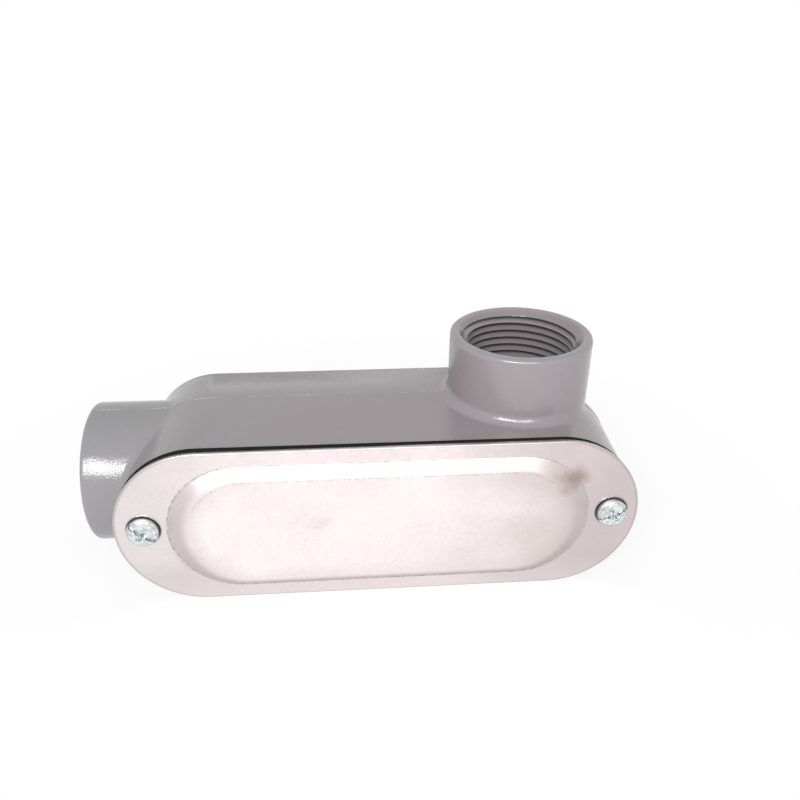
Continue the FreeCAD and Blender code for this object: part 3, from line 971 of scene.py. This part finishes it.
def screw_points(screw, length_below):
    """Points of one screw about the Z axis with its seat at height 0.

    The head's front is a height over a polar grid: a crown that is an ellipse in section,
    less the recess. Its side is a short upright band, and the shank is a plain turned pin
    with a blunt cone for a tip.
    """
    angles = np.arange(COLUMNS) * (2 * math.pi / COLUMNS)
    radius = screw.head_radius
    front_radii = radius * np.sin(np.linspace(0, 0.5 * math.pi, 90))[:, None]
    dome = np.sqrt(np.clip(1 - (front_radii / radius) ** 2.4, 0, 1))
    crown = screw.side_height + screw.crown_height * dome
    x = front_radii * np.cos(angles)
    y = front_radii * np.sin(angles)
    fade = smooth_step((radius - front_radii) / (0.08 * MM))
    height = np.maximum(crown - recess_depth(x, y, screw) * fade, 0.42 * MM)
    front = np.stack([x, y, height], axis=-1).reshape(-1, 3)
    deep = (crown - height) / (4 * MM)
    out = np.broadcast_to(front_radii / (2 * radius), deep.shape)
    shank = screw.shank_radius
    radii = np.array([radius, radius - 0.1 * MM, shank, shank, shank * 0.7, 0.0])
    heights = np.array([0.1 * MM, 0.0, 0.0, -length_below + 0.6 * MM, -length_below, -length_below])
    rest = turned(radii[:, None], heights[:, None], angles)
    place = np.concatenate([np.stack([deep, out], axis=-1).reshape(-1, 2),
                            np.tile([0.0, 0.5], (len(rest), 1))])
    return np.concatenate([front, rest]), len(front_radii) + len(radii), COLUMNS, place


class CONDUIT_OT_screws(bpy.types.Operator):
    """Two pan head cover screws with a slot and a cross"""
    bl_idname = "conduit.screws"
    bl_label = "Screws"

    def execute(self, context):
        screw = context.scene.conduit_screws
        cover = context.scene.conduit_cover
        plate = zinc_plate(screw)
        seat_y = COVER_BOX[0].y + cover.panel_height
        turns = (screw.left_turn, screw.right_turn)
        for name, centre, turn in zip(SCREW_BOXES, screw_centres(), turns):
            tip_y = SCREW_BOXES[name][1].y
            points, rows, columns, place = screw_points(screw, tip_y - seat_y)
            spin = np.array(Matrix.Rotation(turn, 3, "Z"))
            points = along_z(points @ spin.T, (centre.x, seat_y, centre.z), (0, -1, 0))
            piece = mesh_piece(name + "_zinc", points, grid_quads(rows, columns).tolist(), plate, 40.0,
                               place)
            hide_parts(name)
        return {"FINISHED"}


# ---- stage ------------------------------------------------------------------------------

def stage_world(fill):
    """White where it is seen, an even soft fill where it lights."""
    world = bpy.data.worlds.new("stage_world")
    bpy.context.scene.world = world
    book = NodeBook(world)
    shown = book.add("ShaderNodeBackground", Color=(1.0, 1.0, 1.0)).outputs[0]
    lit = book.add("ShaderNodeBackground", Color=(1.0, 0.99, 1.0), Strength=fill).outputs[0]
    book.add("ShaderNodeOutputWorld", Surface=book.seen_as_white(shown, lit))


def stage_floor(stage):
    """Wide level floor under the lowest point, nearly white where it is seen, with a soft shadow."""
    level = cad_box[0][2] - 0.03 * MM
    mesh = bpy.data.meshes.new("stage_floor")
    corners = [(x * FLOOR_REACH, y * FLOOR_REACH, level) for x, y in ((-1, -1), (1, -1), (1, 1), (-1, 1))]
    mesh.from_pydata(corners, [], [(0, 1, 2, 3)])
    book = NodeBook(bpy.data.materials.new("stage_floor"))
    paper = book.add("ShaderNodeBsdfDiffuse", Color=stage.floor).outputs[0]
    glow = book.add("ShaderNodeEmission", Color=(1.0, 1.0, 1.0)).outputs[0]
    place = book.add("ShaderNodeTexCoord").outputs["Object"]
    away = book.vectors("DISTANCE", place, (75 * MM, 0.0, cad_box[0][2]))
    shown = book.layered(book.between(away, 75 * MM, 160 * MM, 0.80, 1.0), paper, glow)
    book.add("ShaderNodeOutputMaterial", Surface=book.seen_as_white(shown, paper))
    mesh.materials.append(book.owner)
    linked("stage_floor", mesh)


def lamp(name, azimuth, elevation, width, height, power):
    """Soft rectangular lamp that faces the body's middle."""
    aim = Vector(((cad_box[0][0] + cad_box[1][0]) / 2, (cad_box[0][1] + cad_box[1][1]) / 2, 0.0))
    turn, rise = math.radians(azimuth), math.radians(elevation)
    away = Vector((math.sin(turn) * math.cos(rise), -math.cos(turn) * math.cos(rise), math.sin(rise)))
    data = bpy.data.lights.new(name, "AREA")
    data.shape = "RECTANGLE"
    data.size = width
    data.size_y = height
    data.energy = power
    light = linked(name, data)
    light.location = aim + away * LAMP_DISTANCE
    light.rotation_euler = away.to_track_quat("Z", "Y").to_euler()


def stage_camera(lens):
    """Camera in front of the cover and above it, a little left of its middle, looking down."""
    data = bpy.data.cameras.new("camera")
    data.sensor_width = 36.0
    data.lens = lens
    data.clip_start = 0.01
    data.clip_end = 50.0
    camera = linked("camera", data)
    yaw, pitch, roll = (math.radians(angle) for angle in CAMERA_ANGLES)
    ahead = Vector((math.sin(yaw) * math.cos(pitch), math.cos(yaw) * math.cos(pitch), math.sin(pitch)))
    level = Vector((math.cos(yaw), -math.sin(yaw), 0.0))
    up = level.cross(ahead)
    right = math.cos(roll) * level + math.sin(roll) * up
    top = -math.sin(roll) * level + math.cos(roll) * up
    turn = Matrix((right, top, -ahead)).transposed().to_4x4()
    cover_middle = Vector(((COVER_BOX[0].x + COVER_BOX[1].x) / 2, 0.0, 0.0))
    place = cover_middle + Vector(CAMERA_PLACE) * MM
    camera.matrix_world = Matrix.Translation(place) @ turn
    bpy.context.scene.camera = camera


class CONDUIT_OT_stage(bpy.types.Operator):
    """Pale floor, soft lamps and the camera"""
    bl_idname = "conduit.stage"
    bl_label = "Stage"

    def execute(self, context):
        stage = context.scene.conduit_stage
        stage_world(stage.world_fill)
        stage_floor(stage)
        lamp("key_lamp", *KEY_LAMP, stage.key_power)
        lamp("side_lamp", *SIDE_LAMP, stage.side_power)
        stage_camera(stage.lens)
        context.scene.view_settings.view_transform = "Standard"
        return {"FINISHED"}


class CONDUIT_PT_panel(bpy.types.Panel):
    """Lists the steps that build the conduit body"""
    bl_label = "Conduit body"
    bl_idname = "CONDUIT_PT_panel"
    bl_space_type = "VIEW_3D"
    bl_region_type = "UI"
    bl_category = "Conduit"

    def draw(self, context):
        for step in OPERATORS:
            self.layout.operator(step.bl_idname)
        for group in SETTINGS:
            box = self.layout.box()
            values = getattr(context.scene, group)
            for prop in values.bl_rna.properties:
                if prop.identifier not in ("rna_type", "name"):
                    box.prop(values, prop.identifier)


OPERATORS = (CONDUIT_OT_casting, CONDUIT_OT_cover, CONDUIT_OT_gasket, CONDUIT_OT_screws, CONDUIT_OT_stage)
SETTINGS = {
    "conduit_casting": CastingSettings,
    "conduit_thread": ThreadSettings,
    "conduit_cover": CoverSettings,
    "conduit_gasket": GasketSettings,
    "conduit_screws": ScrewSettings,
    "conduit_stage": StageSettings,
}


def register():
    """Registers the settings, the operators and the panel."""
    for name, group in SETTINGS.items():
        bpy.utils.register_class(group)
        setattr(bpy.types.Scene, name, bpy.props.PointerProperty(type=group))
    for operator in OPERATORS:
        bpy.utils.register_class(operator)
    bpy.utils.register_class(CONDUIT_PT_panel)


def unregister():
    """Removes what register added."""
    bpy.utils.unregister_class(CONDUIT_PT_panel)
    for operator in reversed(OPERATORS):
        bpy.utils.unregister_class(operator)
    for name, group in SETTINGS.items():
        delattr(bpy.types.Scene, name)
        bpy.utils.unregister_class(group)


def main():
    """Builds every piece in order."""
    register()
    bpy.ops.conduit.casting()
    bpy.ops.conduit.cover()
    bpy.ops.conduit.gasket()
    bpy.ops.conduit.screws()
    bpy.ops.conduit.stage()
    bpy.context.view_layer.update()


if __name__ == "__main__":
    main()
